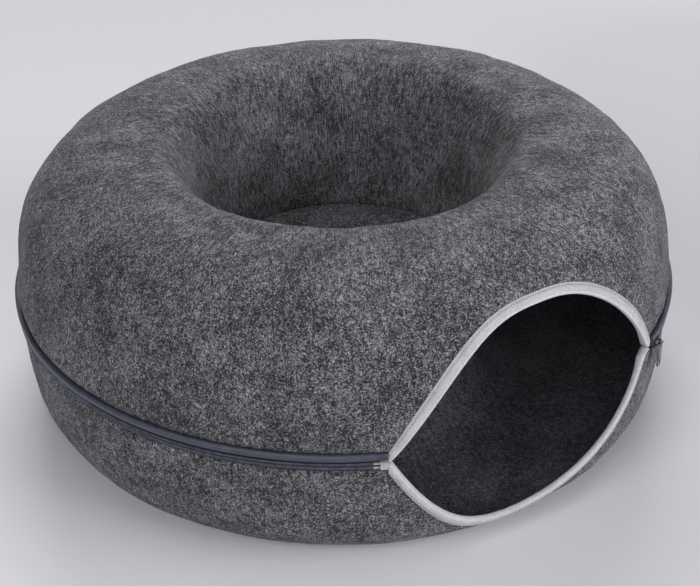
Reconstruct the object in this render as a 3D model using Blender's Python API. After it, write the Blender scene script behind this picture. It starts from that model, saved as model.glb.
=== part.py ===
"""Round felt tunnel bed for a cat.

Two moulded felt halves, each like half a ring cake, meet at a coil zip that runs round
the widest line of the bed.  Their inner walls meet at a round felt floor, so the middle
is an open bowl and the space round it is a closed tunnel.  A lens-shaped entrance is cut
through both halves and edged with folded tape.  The zip starts and ends at its corners.

Frame: +Z up, the bed stands on z = 0, the entrance faces -Y.  A place on the felt is
given by its azimuth (0 at the entrance, towards +X), its arc from the zip line, measured
along the felt, and its lift, measured outwards from the felt's outer face.
"""
import math

import bmesh
import bpy
import numpy as np
from mathutils import Matrix, Vector

# Felt halves, in metres
bed_radius = 0.300
bed_height = 0.243
zip_height = 0.108
crest_radius = 0.1745
bowl_radius = 0.1244
bowl_floor_height = 0.102
base_outer_radius = 0.246
base_inner_radius = 0.190
felt_thickness = 0.005
bowl_floor_thickness = 0.005

# Roundness of the moulded felt: 2 is an ellipse, more is squarer
shoulder_power = 2.73
funnel_power = 2.15
foot_power = 3.30

# Clearance left where pieces touch
seat_gap = 0.0003

# Entrance, measured along the felt at the tape's inner edge
entrance_width = 0.265
entrance_rise = 0.107
entrance_drop = 0.081
entrance_lip_offset = 0.0063
entrance_tip_cut = 0.0058
lip_lean_share = 0.35
binding_width = 0.0104
binding_thickness = 0.0010
lens_power = 2.5
upper_inner_taper = 1.4
upper_outer_taper = 1.2
lower_taper = 0.95
stretch_limit = 2.5

# How fast the squeeze of the felt's rows fades away from the entrance
upper_fade_power = 1.5
lower_fade_power = 1.2

# Zip: two tapes, two coils, and the rolled welt above them
tape_thickness = 0.0006
tape_reach = 0.0052
tape_seam_depth = 0.0085
coil_width = 0.0024
coil_height = 0.0022
coil_half_spacing = 0.0007
welt_height = 0.0076
welt_thickness = 0.0034
welt_clearance = 0.0004
welt_power = 0.6
welt_steps = 6
corner_gap = 0.0006

# Slider, its crown bar and its puller
slider_length = 0.0115
slider_width = 0.0086
slider_plate = 0.0012
slider_front_clearance = 0.00035
slider_back_clearance = 0.00055
slider_slot = 0.0013
divider_gap = 0.0003
divider_length_share = 0.45
crown_wire_radius = 0.0008
crown_rise = 0.0029
crown_foot_inset = 0.0013
crown_bend_drop = 0.0013
knuckle_length = 0.0044
knuckle_wall = 0.00075
knuckle_clearance = 0.00035
puller_length = 0.0262
puller_width = 0.0080
puller_thickness = 0.0018
puller_slot_width = 0.0030
puller_slot_length = 0.0068
puller_slot_inset = 0.0022
puller_neck_length = 0.0027
puller_shoulder_drop = 0.0050
puller_shoulder_share = 0.82

# Slider plate's plan, nose to tail: shares of its half length and of its half width
plate_shares = [(-1.00, 0.50), (-0.80, 0.86), (-0.55, 1.00), (0.80, 0.94), (1.00, 0.72)]

# Side lips: where they start and end along the half length, and their outer face across
side_lip_shares = [-0.50, 0.76, 0.93]

# Zip ends
stop_length = 0.0026
stop_wall = 0.0003
nose_clearance = 0.0012
box_length = 0.0060
box_wall = 0.0007
pin_length = 0.0098
pin_seat_depth = 0.0046
pin_thickness = 0.0014

# Fineness of the mesh
ring_steps = 60
entrance_steps = 24
wall_rows = 7
funnel_rows = 4
hill_rows = 3
round_steps = 20
curve_samples = 400

# Worked out from the sizes above
hill_height = bowl_floor_height - bowl_floor_thickness - seat_gap
tape_lift = seat_gap
tape_face = tape_lift + tape_thickness
coil_lift = tape_face + seat_gap
coil_face = coil_lift + coil_height
coil_outer = coil_half_spacing + coil_width
coil_middle = coil_half_spacing + coil_width / 2
felt_setback = tape_reach + tape_thickness + seat_gap
entrance_half_angle = math.asin(entrance_width / 2 / bed_radius)
binding_half_angle = entrance_half_angle + binding_width / bed_radius
entrance_end_angle = binding_half_angle - entrance_tip_cut / bed_radius
lip_angle = entrance_lip_offset / bed_radius
zip_radius = bed_radius + coil_face
zip_start_angle = entrance_end_angle + corner_gap / bed_radius
stop_outer = slider_width / 2 - stop_wall
slider_rest_arc = corner_gap + stop_length + nose_clearance + slider_length / 2
slider_rest_angle = zip_start_angle + slider_rest_arc / zip_radius
crown_lift = coil_face + slider_front_clearance + slider_plate + crown_rise
knuckle_bore = crown_wire_radius + knuckle_clearance
knuckle_radius = knuckle_bore + knuckle_wall


def clear_scene():
    """Take every object out of the open scene."""
    for item in list(bpy.data.objects):
        bpy.data.objects.remove(item, do_unlink=True)


def material(name, colour, roughness, metallic=0.0):
    """A plain Principled finish."""
    finish = bpy.data.materials.get(name)
    if finish is None:
        finish = bpy.data.materials.new(name)
        finish.use_nodes = True
        shader = finish.node_tree.nodes["Principled BSDF"]
        shader.inputs["Base Color"].default_value = (*colour, 1.0)
        shader.inputs["Roughness"].default_value = roughness
        shader.inputs["Metallic"].default_value = metallic
    return finish


def felt():
    return material("grey_felt", (0.085, 0.085, 0.092), 0.95)


def binding_tape():
    return material("pale_binding_tape", (0.52, 0.52, 0.55), 0.80)


def zip_cloth():
    return material("navy_zip_tape", (0.085, 0.095, 0.13), 0.65)


def zip_nylon():
    return material("navy_zip_coil", (0.16, 0.17, 0.21), 0.40)


def pale_nylon():
    return material("pale_zip_end", (0.60, 0.56, 0.56), 0.45)


def slider_metal():
    return material("dark_slider_metal", (0.13, 0.14, 0.15), 0.35, 0.90)


def puller_metal():
    return material("grey_puller_metal", (0.22, 0.26, 0.27), 0.42, 0.85)


def quarter(start, end, power):
    """Quarter of a superellipse that leaves start upright and reaches end level."""
    turn = np.linspace(0, math.pi / 2, curve_samples)
    across = end[0] + (start[0] - end[0]) * np.cos(turn) ** (2 / power)
    height = start[1] + (end[1] - start[1]) * np.sin(turn) ** (2 / power)
    return np.column_stack([across, height])


class Profile:
    """The felt's outer face in section, as radius and height along its arc."""

    def __init__(self, points, side):
        steps = np.diff(points, axis=0)
        keep = np.concatenate([[True], np.hypot(steps[:, 0], steps[:, 1]) > 0])
        points = points[keep]
        steps = np.diff(points, axis=0)
        lengths = np.hypot(steps[:, 0], steps[:, 1])
        self.arc = np.concatenate([[0], np.cumsum(lengths)])
        self.points = points
        along = np.gradient(points, self.arc, axis=0)
        along = along / np.hypot(along[:, 0], along[:, 1])[:, None]
        self.normals = side * np.column_stack([along[:, 1], -along[:, 0]])
        bend = np.degrees(np.abs(np.unwrap(np.arctan2(along[:, 1], along[:, 0]))
                                 - np.arctan2(along[0, 1], along[0, 0])))
        self.measure = self.arc / self.arc[-1] + bend / bend[-1]

    @property
    def end(self):
        return self.arc[-1]

    def place(self, azimuth, arc, lift):
        """The point at an azimuth, an arc from the zip line and a lift off the felt."""
        at = abs(arc)
        spot = [np.interp(at, self.arc, self.points[:, k]) for k in (0, 1)]
        out = [np.interp(at, self.arc, self.normals[:, k]) for k in (0, 1)]
        radius = spot[0] + lift * out[0]
        height = spot[1] + lift * out[1]
        return Vector((radius * math.sin(azimuth), -radius * math.cos(azimuth), height))

    def arc_at_radius(self, radius):
        """The arc at which the falling radius first reaches a value."""
        return self.arc[np.argmax(self.points[:, 0] <= radius)]

    def rows(self, first, last, count):
        """Arcs from first to last, closer where the felt bends more."""
        ends = np.interp([first, last], self.arc, self.measure)
        return list(np.interp(np.linspace(*ends, count + 1), self.measure, self.arc))


def upper_profile():
    shoulder = quarter((bed_radius, zip_height), (crest_radius, bed_height), shoulder_power)
    throat = (bowl_radius, bowl_floor_height + seat_gap)
    funnel = quarter(throat, (crest_radius, bed_height), funnel_power)
    return Profile(np.vstack([shoulder, funnel[::-1]]), 1)


def lower_profile():
    foot = quarter((bed_radius, zip_height), (base_outer_radius, 0), foot_power)
    hill = quarter((bowl_radius, hill_height), (base_inner_radius, 0), funnel_power)
    return Profile(np.vstack([foot, hill[::-1]]), -1)


def lens(angle, half_angle, rise, taper):
    """Height of a lens over its chord: full at the middle, nothing at both corners."""
    share = min(abs(angle) / half_angle, 1)
    return rise * (1 - share ** lens_power) ** taper


def upper_inner_edge(angle):
    return lens(angle, entrance_half_angle, entrance_rise, upper_inner_taper)


def upper_outer_edge(angle):
    rise = entrance_rise + binding_width
    return lens(angle, binding_half_angle, rise, upper_outer_taper)


def lip(angle, half_angle, drop):
    """The lower lip hangs a little deeper on its left than on its right."""
    across = max(-1, min(1, (angle + lip_angle) / (half_angle - lip_angle)))
    lean = 1 - lip_lean_share * across * (1 - across ** 2)
    return lean * lens(angle + lip_angle, half_angle - lip_angle, drop, lower_taper)


def lower_inner_edge(angle):
    return lip(angle, entrance_half_angle, entrance_drop)


def lower_outer_edge(angle):
    return lip(angle, binding_half_angle, entrance_drop + binding_width)


def stretch(edge, angle):
    """How much longer a thickness grows when it is measured straight up a steep edge."""
    step = binding_half_angle / entrance_steps / 4
    slope = (edge(angle + step) - edge(angle - step)) / (2 * step * bed_radius)
    return min(math.hypot(1, slope), stretch_limit)


def binding_arcs(inner_edge, outer_edge, angle):
    """Arcs of the tape's fold, of the felt's cut edge and of the tape's far edge."""
    grow = stretch(inner_edge, angle)
    fold = inner_edge(angle) + seat_gap
    cut = fold + binding_thickness * grow
    far = max(outer_edge(angle), cut + binding_thickness)
    return fold, cut, far, grow


def felt_edge(inner_edge, outer_edge, angle):
    """Arcs of the felt's cut edge and of the row under the tape's far edge."""
    if abs(angle) > entrance_end_angle * (1 + 1e-9):
        return felt_setback, felt_setback + binding_width
    fold, cut, far, grow = binding_arcs(inner_edge, outer_edge, angle)
    edge = max(felt_setback, cut + seat_gap * grow)
    return edge, max(far, edge + binding_width / 2)


def entrance_angles():
    return np.linspace(-entrance_end_angle, entrance_end_angle, entrance_steps + 1)


def zip_angles(first=0.0, last=0.0):
    """Azimuths of the zip, from the right corner round the back to the left corner.

    first and last hold back a length from each corner.
    """
    low = zip_start_angle + first / zip_radius
    high = 2 * math.pi - zip_start_angle - last / zip_radius
    grid = np.linspace(zip_start_angle, 2 * math.pi - zip_start_angle, ring_steps + 1)
    inside = [angle for angle in grid if low < angle < high]
    return [low, *inside, high]


def finish_object(name, mesh, finish, smooth_angle=35):
    """Make an object of a mesh, with its finish and smooth shading on round parts."""
    mesh.materials.append(finish)
    mesh.shade_smooth()
    mesh.set_sharp_from_angle(angle=math.radians(smooth_angle))
    item = bpy.data.objects.new(name, mesh)
    bpy.context.collection.objects.link(item)
    return item


def loft(name, sections, finish, closed=False):
    """Join closed sections, one after another, into one skin with ends or in a ring."""
    work = bmesh.new()
    loops = [[work.verts.new(point) for point in section] for section in sections]
    pairs = list(zip(loops, loops[1:]))
    if closed:
        pairs.append((loops[-1], loops[0]))
    for one, two in pairs:
        for k in range(len(one)):
            m = (k + 1) % len(one)
            work.faces.new((one[k], one[m], two[m], two[k]))
    if not closed:
        work.faces.new(loops[0][::-1])
        work.faces.new(loops[-1])
    bmesh.ops.recalc_face_normals(work, faces=work.faces)
    mesh = bpy.data.meshes.new(name)
    work.to_mesh(mesh)
    work.free()
    return finish_object(name, mesh, finish)


def felt_half(name, profile, side, inner_edge, outer_edge, full_rows, turn_arc, fade):
    """One moulded felt half: a wall of even thickness with the entrance cut out of it.

    full_rows are the rows away from the entrance.  Those before turn_arc are squeezed
    above or below the entrance, most at its edge, and the rest stay where they are.
    """
    columns = list(entrance_angles()) + zip_angles()[1:-1]
    plain_start = felt_setback + binding_width
    sections = []
    for angle in columns:
        turned = angle if angle < math.pi else angle - 2 * math.pi
        edge, under = felt_edge(inner_edge, outer_edge, turned)
        arcs = [edge, under]
        for row in full_rows:
            share = max(turn_arc - row, 0) / (turn_arc - plain_start)
            arcs.append(row + (under - plain_start) * share ** fade)
        outside = [profile.place(angle, side * arc, 0) for arc in arcs]
        inside = [profile.place(angle, side * arc, -felt_thickness) for arc in arcs]
        sections.append(outside + inside[::-1])
    return loft(name, sections, felt(), closed=True)


def upper_shell(profile):
    crest = profile.arc_at_radius(crest_radius)
    rows = profile.rows(felt_setback + binding_width, crest, wall_rows)[1:]
    rows += profile.rows(crest, profile.end, funnel_rows)[1:]
    return felt_half("upper_shell", profile, 1, upper_inner_edge, upper_outer_edge,
                     rows, crest, upper_fade_power)


def lower_shell(profile):
    foot = profile.arc_at_radius(base_outer_radius)
    heel = profile.arc_at_radius(base_inner_radius)
    rows = profile.rows(felt_setback + binding_width, foot, wall_rows)[1:]
    rows += profile.rows(heel, profile.end, hill_rows)
    return felt_half("lower_shell", profile, -1, lower_inner_edge, lower_outer_edge,
                     rows, foot, lower_fade_power)


def bowl_floor():
    """Round felt floor, sewn between the two inner walls."""
    radius = bowl_radius + felt_thickness
    work = bmesh.new()
    middle = bowl_floor_height - bowl_floor_thickness / 2
    bmesh.ops.create_cone(work, cap_ends=True, segments=ring_steps, radius1=radius,
                          radius2=radius, depth=bowl_floor_thickness,
                          matrix=Matrix.Translation((0, 0, middle)))
    mesh = bpy.data.meshes.new("bowl_floor")
    work.to_mesh(mesh)
    work.free()
    return finish_object("bowl_floor", mesh, felt())


def entrance_binding(name, profile, side, inner_edge, outer_edge):
    """Tape folded over the felt's cut edge: an outer leg, a fold and an inner leg."""
    face = seat_gap
    top = seat_gap + binding_thickness
    back = -felt_thickness - seat_gap
    bottom = back - binding_thickness
    sections = []
    for angle in entrance_angles():
        fold, cut, far, grow = binding_arcs(inner_edge, outer_edge, angle)
        round_arc = fold + (cut - fold) / 2
        outline = [(far, top), (cut, top), (round_arc, top), (fold, face),
                   (fold, back), (round_arc, bottom), (cut, bottom), (far, bottom),
                   (far, back), (cut, back), (cut, face), (far, face)]
        sections.append([profile.place(angle, side * arc, lift) for arc, lift in outline])
    return loft(name, sections, binding_tape())


def zip_ring(name, profile, side, outline, finish, first=0.0, last=0.0):
    """Carry an outline of arcs and lifts round the zip line."""
    sections = []
    for angle in zip_angles(first, last):
        sections.append([profile.place(angle, side * arc, lift) for arc, lift in outline])
    return loft(name, sections, finish)


def zip_tape(name, profile, side):
    """Woven tape: it lies behind the coil, turns in over the felt's edge and is sewn
    to the felt's inner face."""
    turn = tape_reach + tape_thickness
    inner = -felt_thickness - seat_gap
    depth = inner - tape_thickness
    outline = [(coil_half_spacing, tape_lift), (coil_half_spacing, tape_face),
               (turn, tape_face), (turn, inner), (tape_reach + tape_seam_depth, inner),
               (tape_reach + tape_seam_depth, depth), (tape_reach, depth),
               (tape_reach, tape_lift)]
    return zip_ring(name, profile, side, outline, zip_cloth())


def zip_welt(profile):
    """Cloth rolled into a half-round welt that covers the upper seam."""
    low = slider_width / 2 + welt_clearance
    outline = [(low, coil_lift), (low + welt_height, coil_lift)]
    for step in range(1, welt_steps):
        turn = math.pi * step / welt_steps
        height = low + welt_height * (1 + math.cos(turn)) / 2
        outline.append((height, coil_lift + welt_thickness * math.sin(turn) ** welt_power))
    return zip_ring("zip_welt", profile, 1, outline, zip_cloth())


def zip_coil(name, profile, side):
    """One row of the nylon coil, with its turns taken together as a rounded bead."""
    chamfer = coil_height / 3
    outline = [(coil_half_spacing, coil_lift), (coil_half_spacing, coil_face - chamfer),
               (coil_half_spacing + chamfer, coil_face), (coil_outer - chamfer, coil_face),
               (coil_outer, coil_face - chamfer), (coil_outer, coil_lift)]
    first = stop_length + corner_gap + seat_gap
    last = box_length + pin_length - pin_seat_depth + seat_gap
    return zip_ring(name, profile, side, outline, zip_nylon(), first, last)


def prism(name, outline, low, high, finish):
    """Extrude an outline of (along, height) from one lift to another, facing -Y."""
    sections = []
    for lift in (low, high):
        sections.append([Vector((along, -(bed_radius + lift), zip_height + height))
                         for along, height in outline])
    return loft(name, sections, finish)


def block(name, along, height, lift, finish):
    """A block between two values along the zip, in height and in lift."""
    outline = [(along[0], height[0]), (along[1], height[0]),
               (along[1], height[1]), (along[0], height[1])]
    return prism(name, outline, *lift, finish)


def tube(name, path, radius, finish):
    """A round bar along a path of (along, lift), at the height of the zip line."""
    sections = []
    for k, (along, lift) in enumerate(path):
        before = Vector(path[max(k - 1, 0)])
        after = Vector(path[min(k + 1, len(path) - 1)])
        heading = (after - before).normalized()
        section = []
        for step in range(round_steps // 2):
            turn = 2 * math.pi * step / (round_steps // 2)
            out = radius * math.cos(turn)
            section.append(Vector((along - out * heading.y,
                                   -(bed_radius + lift + out * heading.x),
                                   zip_height + radius * math.sin(turn))))
        sections.append(section)
    return loft(name, sections, finish)


def combine(target, tool, operation):
    """Join a shape to the target or cut it from the target, and drop the tool."""
    change = target.modifiers.new(operation.lower(), "BOOLEAN")
    change.operation = operation
    change.solver = "EXACT"
    change.object = tool
    bpy.context.view_layer.update()
    graph = bpy.context.evaluated_depsgraph_get()
    mesh = bpy.data.meshes.new_from_object(target.evaluated_get(graph))
    target.modifiers.clear()
    target.data = mesh
    bpy.data.objects.remove(tool, do_unlink=True)


def slider_outline():
    """Plan of a slider plate: a blunt nose, wide shoulders and a narrower tail."""
    one_side = [(long * slider_length / 2, wide * slider_width / 2)
                for long, wide in plate_shares]
    return one_side + [(along, -height) for along, height in reversed(one_side)]


def slider_body():
    """Cast slider: two plates joined by a divider, side lips and a crown for the puller."""
    metal = slider_metal()
    half_length = slider_length / 2
    front_low = coil_face + slider_front_clearance
    front_high = front_low + slider_plate
    back_high = tape_lift - slider_back_clearance
    back_low = back_high - slider_plate
    bite = slider_plate / 3
    body = prism("slider_body", slider_outline(), front_low, front_high, metal)
    back = prism("back_plate", slider_outline(), back_low, back_high, metal)
    combine(body, back, "UNION")
    half_divider = coil_half_spacing - divider_gap
    nose = -half_length + crown_foot_inset
    tail = nose + divider_length_share * slider_length
    plan = [(nose, 0), (nose + half_divider, half_divider), (tail, half_divider),
            (tail, -half_divider), (nose + half_divider, -half_divider)]
    divider = prism("divider", plan, back_high - bite, front_low + bite, metal)
    combine(body, divider, "UNION")
    lip_start, lip_end, lip_width = side_lip_shares
    lip_inner = coil_outer + divider_gap
    lip_outer = lip_width * slider_width / 2
    slot_top = back_high + slider_slot + slider_back_clearance
    for side in (-1, 1):
        heights = sorted((side * lip_inner, side * lip_outer))
        wall = block("side_lip", (lip_start * half_length, lip_end * half_length), heights,
                     (slot_top, front_low + bite), metal)
        combine(body, wall, "UNION")
    foot = half_length - crown_foot_inset
    knee = knuckle_length / 2 + knuckle_clearance + crown_wire_radius
    path = [(-foot, front_high - bite), (-foot, crown_lift - crown_bend_drop),
            (-knee, crown_lift), (knee, crown_lift),
            (foot, crown_lift - crown_bend_drop), (foot, front_high - bite)]
    combine(body, tube("crown", path, crown_wire_radius, metal), "UNION")
    return body


def ring_wall(name, radius, length, finish):
    """A round bar along the zip, on the crown bar's axis."""
    sections = []
    for along in (-length / 2, length / 2):
        section = []
        for step in range(round_steps):
            turn = 2 * math.pi * step / round_steps
            section.append(Vector((along, -(bed_radius + crown_lift) + radius * math.cos(turn),
                                   zip_height + radius * math.sin(turn))))
        sections.append(section)
    return loft(name, sections, finish)


def puller_outline():
    """A neck under the knuckle that widens into a tab with a round end."""
    half_neck = knuckle_length / 2
    half_width = puller_width / 2
    shoulder = puller_shoulder_share * half_width
    low = -(puller_length - knuckle_radius) + half_width
    outline = [(half_neck, 0), (half_neck, -puller_neck_length),
               (shoulder, -puller_shoulder_drop)]
    for step in range(round_steps // 2 + 1):
        turn = math.pi * step / (round_steps // 2)
        outline.append((half_width * math.cos(turn), low - half_width * math.sin(turn)))
    outline += [(-shoulder, -puller_shoulder_drop), (-half_neck, -puller_neck_length),
                (-half_neck, 0)]
    return outline


def slot_outline():
    """A slot with round ends near the lower end of the tab."""
    radius = puller_slot_width / 2
    low = -(puller_length - knuckle_radius) + puller_slot_inset + radius
    high = low + puller_slot_length - puller_slot_width
    outline = []
    for centre, first in ((high, 0), (low, math.pi)):
        for step in range(round_steps // 2 + 1):
            turn = first + math.pi * step / (round_steps // 2)
            outline.append((radius * math.cos(turn), centre + radius * math.sin(turn)))
    return outline


def puller():
    """Pull tab: a knuckle round the crown bar and a flat tab with a slot."""
    metal = puller_metal()
    near = crown_lift - puller_thickness / 2
    tab = prism("puller", puller_outline(), near, near + puller_thickness, metal)
    combine(tab, ring_wall("knuckle", knuckle_radius, knuckle_length, metal), "UNION")
    overrun = 2 * knuckle_wall
    bore = ring_wall("bore", knuckle_bore, knuckle_length + overrun, metal)
    combine(tab, bore, "DIFFERENCE")
    slot = prism("slot", slot_outline(), near - overrun, near + puller_thickness + overrun,
                 metal)
    combine(tab, slot, "DIFFERENCE")
    return tab


def top_stop(name, side):
    """A small moulded stop clamped on the end of a coil row."""
    heights = sorted((side * coil_half_spacing, side * stop_outer))
    stop = block(name, (0, stop_length), heights, (coil_lift, coil_face + stop_wall),
                 zip_nylon())
    edge = stop.modifiers.new("edge", "BEVEL")
    edge.width = stop_wall
    edge.segments = 1
    return stop


def zip_pin(name, side, length, finish):
    """A flat pin on a tape's end, pointing along the zip."""
    heights = (side * coil_middle - pin_thickness / 2, side * coil_middle + pin_thickness / 2)
    middle = (coil_lift + coil_face) / 2
    lifts = (middle - pin_thickness / 2, middle + pin_thickness / 2)
    return block(name, (-length, 0), heights, lifts, finish)


def retainer_box():
    """Moulded box on the lower tape, with a fixed pin and a socket for the other pin."""
    nylon = pale_nylon()
    side = coil_outer + box_wall / 2
    box = block("retainer_box", (-box_length, 0), (-side, side),
                (coil_lift, coil_face + box_wall), nylon)
    fixed = zip_pin("fixed_pin", -1, box_length + pin_length - pin_seat_depth, nylon)
    combine(box, fixed, "UNION")
    half_hole = pin_thickness / 2 + seat_gap
    middle = (coil_lift + coil_face) / 2
    bottom = -box_length + pin_seat_depth + seat_gap
    hole = block("socket", (-box_length - box_wall, bottom),
                 (coil_middle - half_hole, coil_middle + half_hole),
                 (middle - half_hole, middle + half_hole), nylon)
    combine(box, hole, "DIFFERENCE")
    return box


def insertion_pin():
    """Free pin on the upper tape, seated in the retainer box."""
    pin = zip_pin("insertion_pin", 1, pin_length, pale_nylon())
    pin.data.transform(Matrix.Translation((-(box_length - pin_seat_depth), 0, 0)))
    return pin


def turn_about_bed(items, angle):
    """Turn pieces made at the entrance's middle to their azimuth on the zip."""
    for item in items:
        item.rotation_euler.z = angle


def set_pivot(item, pivot):
    """Move an unturned object's origin to a point and leave its mesh where it is."""
    item.data.transform(Matrix.Translation(-pivot))
    item.location = pivot


def footprint_centre():
    """Middle of the whole bed's outline, seen from above."""
    bpy.context.view_layer.update()
    corners = []
    for item in bpy.context.scene.objects:
        corners += [item.matrix_world @ vertex.co for vertex in item.data.vertices]
    middle = [(min(c[k] for c in corners) + max(c[k] for c in corners)) / 2 for k in (0, 1)]
    return Vector((*middle, 0))


def build():
    clear_scene()
    upper = upper_profile()
    lower = lower_profile()
    upper_shell(upper)
    lower_shell(lower)
    bowl_floor()
    entrance_binding("entrance_binding_upper", upper, 1, upper_inner_edge, upper_outer_edge)
    entrance_binding("entrance_binding_lower", lower, -1, lower_inner_edge, lower_outer_edge)
    zip_tape("zip_tape_upper", upper, 1)
    zip_tape("zip_tape_lower", lower, -1)
    zip_welt(upper)
    zip_coil("zip_coil_upper", upper, 1)
    zip_coil("zip_coil_lower", lower, -1)
    right_end = zip_start_angle + corner_gap / zip_radius
    turn_about_bed([top_stop("top_stop_upper", 1), top_stop("top_stop_lower", -1)], right_end)
    turn_about_bed([retainer_box(), insertion_pin()], -zip_start_angle)
    tab = puller()
    set_pivot(tab, Vector((0, -(bed_radius + crown_lift), zip_height)))
    tab.location.rotate(Matrix.Rotation(slider_rest_angle, 3, "Z"))
    turn_about_bed([slider_body(), tab], slider_rest_angle)
    centre = footprint_centre()
    for item in bpy.context.scene.objects:
        item.location -= centre
    return centre


middle_of_footprint = build()
open_angle = 2 * math.pi - zip_start_angle
open_angle -= (box_length + seat_gap + slider_length / 2) / zip_radius
print("bed axis at", [round(-value, 5) for value in middle_of_footprint])
print("slider rests at", round(math.degrees(slider_rest_angle), 3), "degrees")
print("zip travel", round(math.degrees(open_angle - slider_rest_angle), 2), "degrees")
print("crown bar lift", round(crown_lift, 6))
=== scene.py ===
# %% [markdown]
# # Dressing a round felt tunnel bed for a cat
#
# The bed is two moulded felt halves that meet at a coil zip.  Their inner walls meet at a
# round felt floor, so the middle is an open bowl and the space round it is a closed
# tunnel.  A lens-shaped entrance is cut through both halves and edged with pale tape.
#
# The solids come from the CAD model and stay where they are.  This lesson replaces the
# soft ones with fine surfaces and gives every piece a finish worked out by nodes.

# %% Load the fixed frame
import math

import bpy
import numpy as np
from mathutils import Matrix, Vector


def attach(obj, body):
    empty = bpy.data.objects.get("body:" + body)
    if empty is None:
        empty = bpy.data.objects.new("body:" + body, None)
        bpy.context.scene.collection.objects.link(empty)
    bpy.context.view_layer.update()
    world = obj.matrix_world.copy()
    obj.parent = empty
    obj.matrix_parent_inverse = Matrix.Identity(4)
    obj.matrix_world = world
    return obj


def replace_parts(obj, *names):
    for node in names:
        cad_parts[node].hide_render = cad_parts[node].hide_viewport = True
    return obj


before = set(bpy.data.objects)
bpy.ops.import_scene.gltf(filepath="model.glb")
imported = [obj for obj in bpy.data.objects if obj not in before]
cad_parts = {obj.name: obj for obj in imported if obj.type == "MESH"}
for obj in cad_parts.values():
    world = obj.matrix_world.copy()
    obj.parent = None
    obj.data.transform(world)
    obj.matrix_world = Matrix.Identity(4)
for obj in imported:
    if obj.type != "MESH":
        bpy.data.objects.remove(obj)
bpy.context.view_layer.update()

scene = bpy.context.scene
scatter = np.random.default_rng(7)

# %% [markdown]
# ## The bed's sizes
#
# A dressed piece lies where its solid lies, so the sizes that shape the felt and the zip
# are repeated here from the CAD source, in metres.  The bed's axis stands a little behind
# the middle of its footprint, because the puller and the entrance tape stick out.
#
# A second list holds the few sizes that are drawn nearer to the photograph than the
# solids are, by four millimetres at most.

# %% Sizes shared with the solids
bed_radius = 0.300
bed_height = 0.243
zip_height = 0.108
crest_radius = 0.1745
bowl_radius = 0.1244
bowl_floor_height = 0.102
base_outer_radius = 0.246
base_inner_radius = 0.190
felt_thickness = 0.005
seat_gap = 0.0003
shoulder_power, funnel_power, foot_power = 2.73, 2.15, 3.30
bed_axis_y = -0.00469

entrance_width = 0.265
entrance_drop = 0.081
entrance_lip_offset = 0.0063
entrance_tip_cut = 0.0058
lip_lean_share = 0.35
binding_width = 0.0104
binding_thickness = 0.0010
lens_power = 2.5
lower_taper = 0.95

tape_thickness = 0.0006
tape_reach = 0.0052
tape_seam_depth = 0.0085
coil_width, coil_height, coil_half_spacing = 0.0024, 0.0022, 0.0007
welt_low = 0.0047
welt_thickness = 0.0034
stop_length, box_length = 0.0026, 0.0060
pin_length, pin_seat_depth = 0.0098, 0.0046
corner_gap = 0.0006
print("the bed:", 2 * bed_radius, "m across,", bed_height, "m high")

# %% Sizes drawn nearer to the photograph
entrance_rise = 0.1052
upper_inner_taper, upper_outer_taper = 1.28, 1.08
tape_width = 0.0094
tape_tip, lip_tip = 0.0009, 0.0018
welt_height = 0.0065
print("the entrance:", entrance_width, "m wide,", entrance_rise + entrance_drop, "m high")

# %% Sizes worked out from both
tape_face = seat_gap + tape_thickness
coil_lift = tape_face + seat_gap
coil_face = coil_lift + coil_height
coil_outer = coil_half_spacing + coil_width
felt_setback = tape_reach + tape_thickness + seat_gap
zip_radius = bed_radius + coil_face

binding_half_angle = math.asin(entrance_width / 2 / bed_radius) + binding_width / bed_radius
entrance_end_angle = binding_half_angle - entrance_tip_cut / bed_radius
lip_angle = entrance_lip_offset / bed_radius
zip_start_angle = entrance_end_angle + corner_gap / bed_radius
tape_inner_angle = entrance_end_angle - tape_tip / bed_radius
lip_inner_angle = tape_inner_angle - lip_tip / bed_radius
print("zip from", round(math.degrees(zip_start_angle), 2), "degrees, both sides of the entrance")

# %% [markdown]
# ## The entrance's outline
#
# The entrance is a lens: full height at the middle and nothing at its two corners.  The
# tape has an inner and an outer edge, each a lens of its own, and the lower lip hangs a
# little deeper on its left, as felt does where it has been pulled.  A Boolean cut would
# leave uneven faces, so the outline is a formula that felt, tape and stitches share.

# %% The entrance's edges
def lens(angle, half_angle, rise, taper):
    """Rise times one minus the share of the half width to a power, all to the taper."""
    share = np.minimum(np.abs(angle) / half_angle, 1)
    return rise * (1 - share ** lens_power) ** taper


def lip(angle, half_angle, drop):
    """A lens moved aside by the lip angle and leaned by a cubic that is zero at its ends."""
    across = np.clip((angle + lip_angle) / (half_angle - lip_angle), -1, 1)
    lean = 1 - lip_lean_share * across * (1 - across ** 2)
    return lean * lens(angle + lip_angle, half_angle - lip_angle, drop, lower_taper)


def upper_inner_edge(angle):
    return lens(angle, tape_inner_angle, entrance_rise, upper_inner_taper)


def upper_outer_edge(angle):
    return lens(angle, binding_half_angle, entrance_rise + tape_width, upper_outer_taper)


def lower_inner_edge(angle):
    return lip(angle, lip_inner_angle, entrance_drop)


def lower_outer_edge(angle):
    return lip(angle, binding_half_angle, entrance_drop + binding_width)


slope_steps, most_stretch = 96, 2.5


def stretch(edge, angle):
    """How much a thickness grows when it is measured straight up a steep edge.

    It is the root of one plus the edge's slope squared, and never more than a limit.
    """
    step = binding_half_angle / slope_steps
    slope = (edge(angle + step) - edge(angle - step)) / (2 * step * bed_radius)
    return np.minimum(np.hypot(1, slope), most_stretch)


print("upper tape at the middle:", round(upper_outer_edge(0) - upper_inner_edge(0), 4), "m")

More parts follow.
